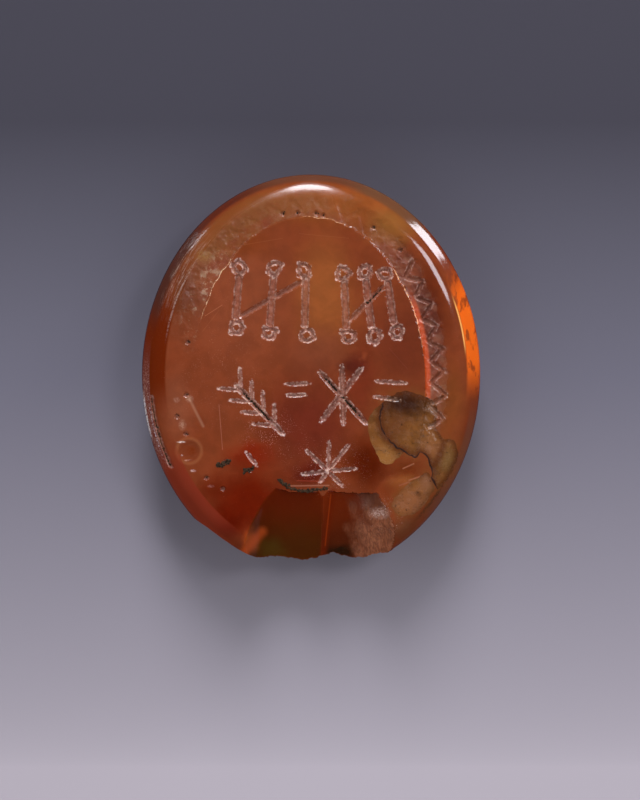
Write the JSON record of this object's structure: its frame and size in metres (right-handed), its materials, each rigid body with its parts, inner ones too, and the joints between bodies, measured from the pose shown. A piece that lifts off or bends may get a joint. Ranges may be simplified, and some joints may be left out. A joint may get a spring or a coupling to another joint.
{
  "type": "intaglio gem",
  "caption": "Oval carnelian ringstone with a flat engraved face: ring-ended signs, small stars and a branch inside a zigzag border, pale mineral patches, and a broken foot.",
  "frame": {"origin": "centre of the unbroken oval, on the flat back face", "axes": "+Z leaves the engraved face, +Y points to the top of the signs, +X points to their right"},
  "size_m": [0.0144, 0.0165, 0.0036],
  "materials": {
    "carnelian": "polished, slightly worn, translucent; frosted in the cuts",
    "pale_mineral": "opaque tan, satin",
    "seam": "dark, satin",
    "dirt": "dull, crumbly"
  },
  "bodies": {
    "root": {"branch_stem_dirt": "dirt", "carnelian_stone": "carnelian", "clod_dirt_1": "dirt", "clod_dirt_2": "dirt", "crossed_stroke_dirt": "dirt", "dark_seam": "seam", "ledge_dirt": "dirt", "pale_left_lobe": "pale_mineral", "pale_lower_patch": "pale_mineral", "pale_main_body": "pale_mineral", "pale_right_lobe": "pale_mineral", "pit_dirt_1": "dirt", "pit_dirt_10": "dirt", "pit_dirt_11": "dirt", "pit_dirt_12": "dirt", "pit_dirt_2": "dirt", "pit_dirt_3": "dirt", "pit_dirt_4": "dirt", "pit_dirt_5": "dirt", "pit_dirt_6": "dirt", "pit_dirt_7": "dirt", "pit_dirt_8": "dirt", "pit_dirt_9": "dirt", "rim_crack_dirt": "dirt", "slash_dirt": "dirt"}
  },
  "joints": []
}
